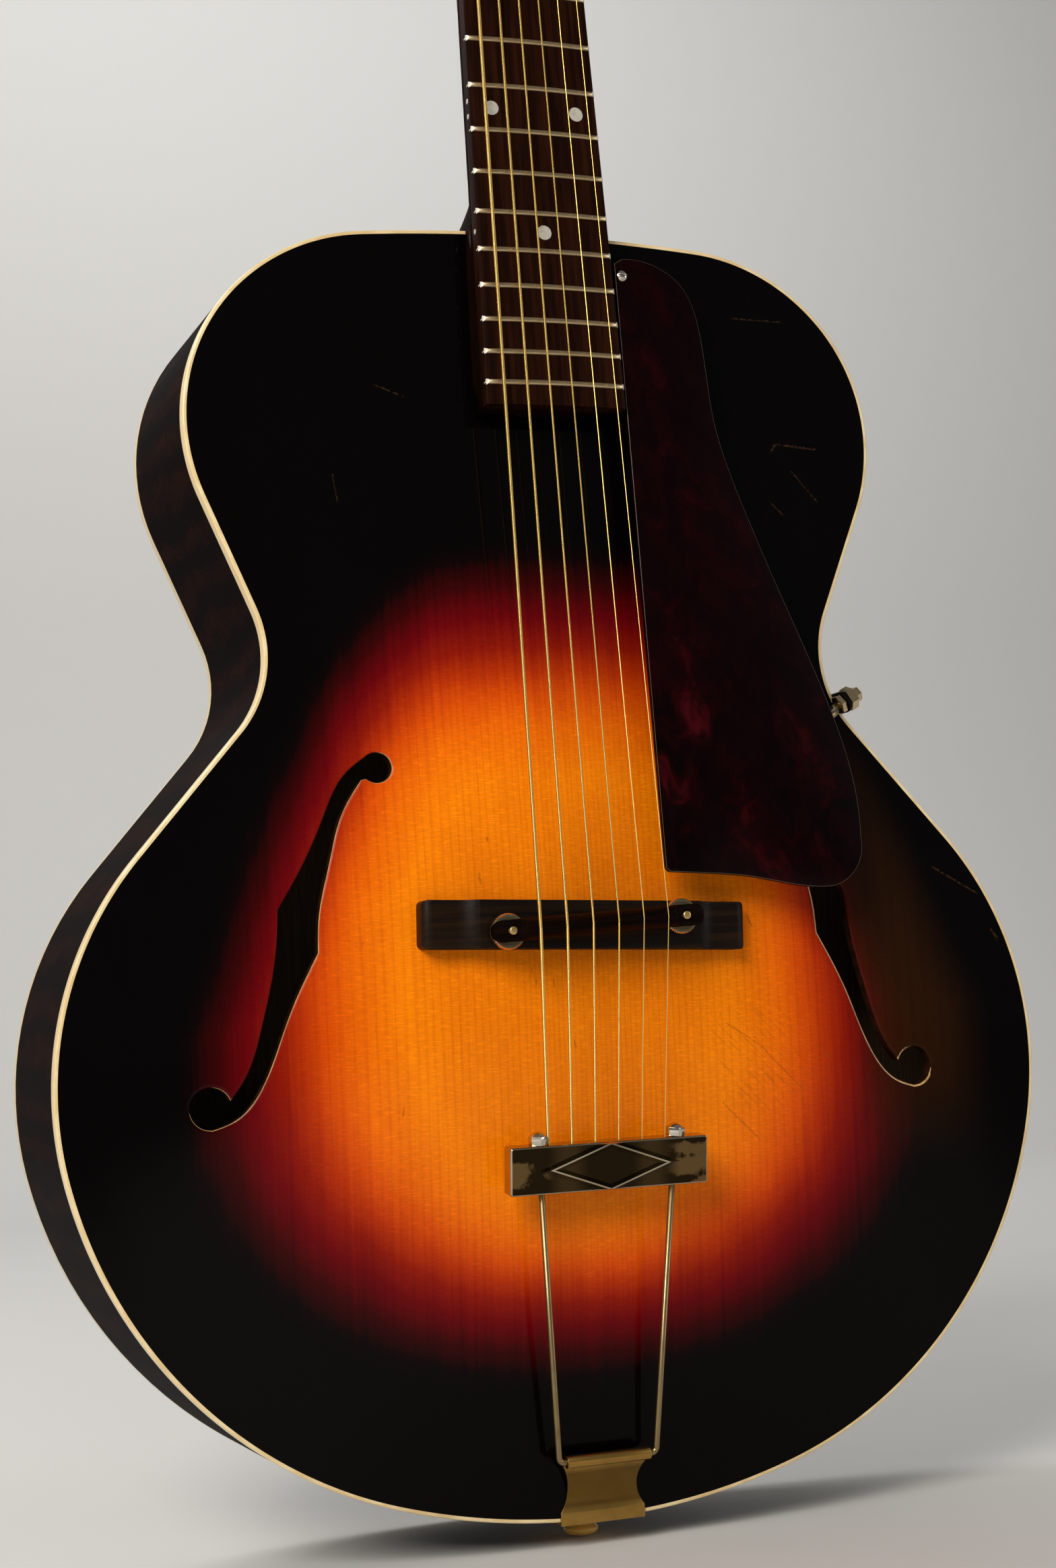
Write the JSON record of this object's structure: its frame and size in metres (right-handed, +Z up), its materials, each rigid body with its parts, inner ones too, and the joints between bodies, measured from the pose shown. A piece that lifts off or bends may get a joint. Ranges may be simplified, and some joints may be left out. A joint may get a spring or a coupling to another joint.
{
  "type": "archtop guitar",
  "caption": "Hollow six-string guitar with an arched sunburst top, f-shaped sound holes, floating height-adjustable bridge, hinged trapeze tailpiece, raised pickguard and geared tuners.",
  "frame": {"origin": "axis of the strap button where it meets the outside of the tail rim", "axes": "+Z runs up the strings from the tail to the head, the top faces -Y, the treble side is +X"},
  "size_m": [0.4058, 0.145, 1.0284],
  "materials": {
    "spruce_top": "gloss lacquer, amber centre shaded to black-brown at the edge",
    "back_wood": "gloss lacquer over dark red-brown stained maple",
    "rim_wood": "gloss lacquer over dark brown stained maple",
    "neck_wood": "gloss lacquer over dark brown mahogany",
    "inner_wood": "bare spruce and lime, unfinished",
    "ivory_binding": "aged cream celluloid, polished",
    "dark_rosewood": "oiled open-grained rosewood",
    "head_black": "gloss black lacquered veneer",
    "fret_silver": "polished nickel silver",
    "pearl": "pale pearl",
    "bone": "polished bone and cream plastic",
    "black_plastic": "gloss black",
    "nickel": "polished nickel plate",
    "aged_nickel": "worn nickel over brass",
    "brass": "polished, a little tarnished",
    "steel": "bright steel",
    "tortoise": "dark tortoise celluloid, polished",
    "bronze_wound": "bronze winding on a steel core",
    "plain_steel": "plain drawn steel"
  },
  "bodies": {
    "guitar": {"back_binding": "ivory_binding", "back_lining": "inner_wood", "back_plate": "back_wood", "bracket_screws": "aged_nickel", "bridge_base": "dark_rosewood", "bridge_studs": "brass", "cover_screws": "nickel", "fingerboard": "dark_rosewood", "frets": "fret_silver", "head_veneer": "head_black", "neck": "neck_wood", "neck_block": "inner_wood", "nut": "bone", "pickguard": "tortoise", "pickguard_clamp": "brass", "pickguard_nuts": "nickel", "pickguard_screw": "nickel", "pickguard_stay": "brass", "position_dots": "pearl", "side_bass": "rim_wood", "side_treble": "rim_wood", "strap_button": "bone", "strings_plain": "plain_steel", "strings_wound": "bronze_wound", "tail_block": "inner_wood", "tail_bracket": "aged_nickel", "tone_bars": "inner_wood", "top_binding": "ivory_binding", "top_lining": "inner_wood", "top_plate": "spruce_top", "truss_rod": "steel", "truss_rod_cover": "black_plastic", "tuner_bushings": "nickel", "tuner_screws": "nickel", "tuner_strips": "nickel"},
    "saddle": {"saddle": "dark_rosewood"},
    "wheel_bass": {"wheel_bass": "brass"},
    "wheel_treble": {"wheel_treble": "brass"},
    "tailpiece": {"trapeze_rod": "nickel", "tail_plate": "nickel", "tail_cap_nuts": "nickel"},
    "truss_rod_nut": {"truss_rod_nut": "brass"},
    "key_1": {"tuner_worm_1": "nickel", "tuner_key_1": "bone"},
    "post_1": {"tuner_post_1": "nickel"},
    "key_2": {"tuner_worm_2": "nickel", "tuner_key_2": "bone"},
    "post_2": {"tuner_post_2": "nickel"},
    "key_3": {"tuner_worm_3": "nickel", "tuner_key_3": "bone"},
    "post_3": {"tuner_post_3": "nickel"},
    "key_4": {"tuner_worm_4": "nickel", "tuner_key_4": "bone"},
    "post_4": {"tuner_post_4": "nickel"},
    "key_5": {"tuner_worm_5": "nickel", "tuner_key_5": "bone"},
    "post_5": {"tuner_post_5": "nickel"},
    "key_6": {"tuner_worm_6": "nickel", "tuner_key_6": "bone"},
    "post_6": {"tuner_post_6": "nickel"}
  },
  "joints": [
    {"name": "saddle_lift", "type": "slide", "parent": "guitar", "child": "saddle", "axis": [0, -1, 0], "range_m": [-0.0016, 0.004], "deforming": ["strings_plain", "strings_wound"]},
    {"name": "wheel_bass_turn", "type": "hinge", "parent": "saddle", "child": "wheel_bass", "pos_m": [-0.03546, -0.05124, 0.22411], "axis": [0, -1, 0], "range_deg": [-721, 1801], "deforming": ["strings_plain", "strings_wound"]},
    {"name": "wheel_treble_turn", "type": "hinge", "parent": "saddle", "child": "wheel_treble", "pos_m": [0.03546, -0.05124, 0.22745], "axis": [0, -1, 0], "range_deg": [-721, 1801], "deforming": ["strings_plain", "strings_wound"]},
    {"name": "tailpiece_swing", "type": "hinge", "parent": "guitar", "child": "tailpiece", "pos_m": [0, -0.0332, 0.0242], "axis": [1, 0, 0], "range_deg": [-0.5, 1.2], "deforming": ["strings_plain", "strings_wound"]},
    {"name": "truss_nut_turn", "type": "hinge", "parent": "guitar", "child": "truss_rod_nut", "pos_m": [0, 0.00008, 0.86824], "axis": [0, 0.0663, 0.9978], "range_deg": [-180, 180]},
    {"name": "key_1_turn", "type": "hinge", "parent": "guitar", "child": "key_1", "pos_m": [0.033, 0.02456, 0.89816], "axis": [1, 0, 0], "continuous": true},
    {"name": "post_1_turn", "type": "hinge", "parent": "guitar", "child": "post_1", "pos_m": [0.0205, 0.00367, 0.89689], "axis": [0, 0.9521, -0.3057], "continuous": true},
    {"name": "key_2_turn", "type": "hinge", "parent": "guitar", "child": "key_2", "pos_m": [0.033, 0.03648, 0.93529], "axis": [1, 0, 0], "continuous": true},
    {"name": "post_2_turn", "type": "hinge", "parent": "guitar", "child": "post_2", "pos_m": [0.0205, 0.01559, 0.93402], "axis": [0, 0.9521, -0.3057], "continuous": true},
    {"name": "key_3_turn", "type": "hinge", "parent": "guitar", "child": "key_3", "pos_m": [0.033, 0.0484, 0.97243], "axis": [1, 0, 0], "continuous": true},
    {"name": "post_3_turn", "type": "hinge", "parent": "guitar", "child": "post_3", "pos_m": [0.0205, 0.02751, 0.97115], "axis": [0, 0.9521, -0.3057], "continuous": true},
    {"name": "key_4_turn", "type": "hinge", "parent": "guitar", "child": "key_4", "pos_m": [-0.033, 0.0484, 0.97243], "axis": [1, 0, 0], "continuous": true},
    {"name": "post_4_turn", "type": "hinge", "parent": "guitar", "child": "post_4", "pos_m": [-0.0205, 0.02751, 0.97115], "axis": [0, 0.9521, -0.3057], "continuous": true},
    {"name": "key_5_turn", "type": "hinge", "parent": "guitar", "child": "key_5", "pos_m": [-0.033, 0.03648, 0.93529], "axis": [1, 0, 0], "continuous": true},
    {"name": "post_5_turn", "type": "hinge", "parent": "guitar", "child": "post_5", "pos_m": [-0.0205, 0.01559, 0.93402], "axis": [0, 0.9521, -0.3057], "continuous": true},
    {"name": "key_6_turn", "type": "hinge", "parent": "guitar", "child": "key_6", "pos_m": [-0.033, 0.02456, 0.89816], "axis": [1, 0, 0], "continuous": true},
    {"name": "post_6_turn", "type": "hinge", "parent": "guitar", "child": "post_6", "pos_m": [-0.0205, 0.00367, 0.89689], "axis": [0, 0.9521, -0.3057], "continuous": true}
  ],
  "couplings": [
    {"joint": "wheel_bass_turn", "follows": "saddle_lift", "rad_per_m": 7854},
    {"joint": "wheel_treble_turn", "follows": "saddle_lift", "rad_per_m": 7854},
    {"joint": "tailpiece_swing", "follows": "saddle_lift", "rad_per_m": 4.9164},
    {"joint": "post_1_turn", "follows": "key_1_turn", "ratio": -0.071429},
    {"joint": "post_2_turn", "follows": "key_2_turn", "ratio": -0.071429},
    {"joint": "post_3_turn", "follows": "key_3_turn", "ratio": -0.071429},
    {"joint": "post_4_turn", "follows": "key_4_turn", "ratio": -0.071429},
    {"joint": "post_5_turn", "follows": "key_5_turn", "ratio": -0.071429},
    {"joint": "post_6_turn", "follows": "key_6_turn", "ratio": -0.071429}
  ]
}
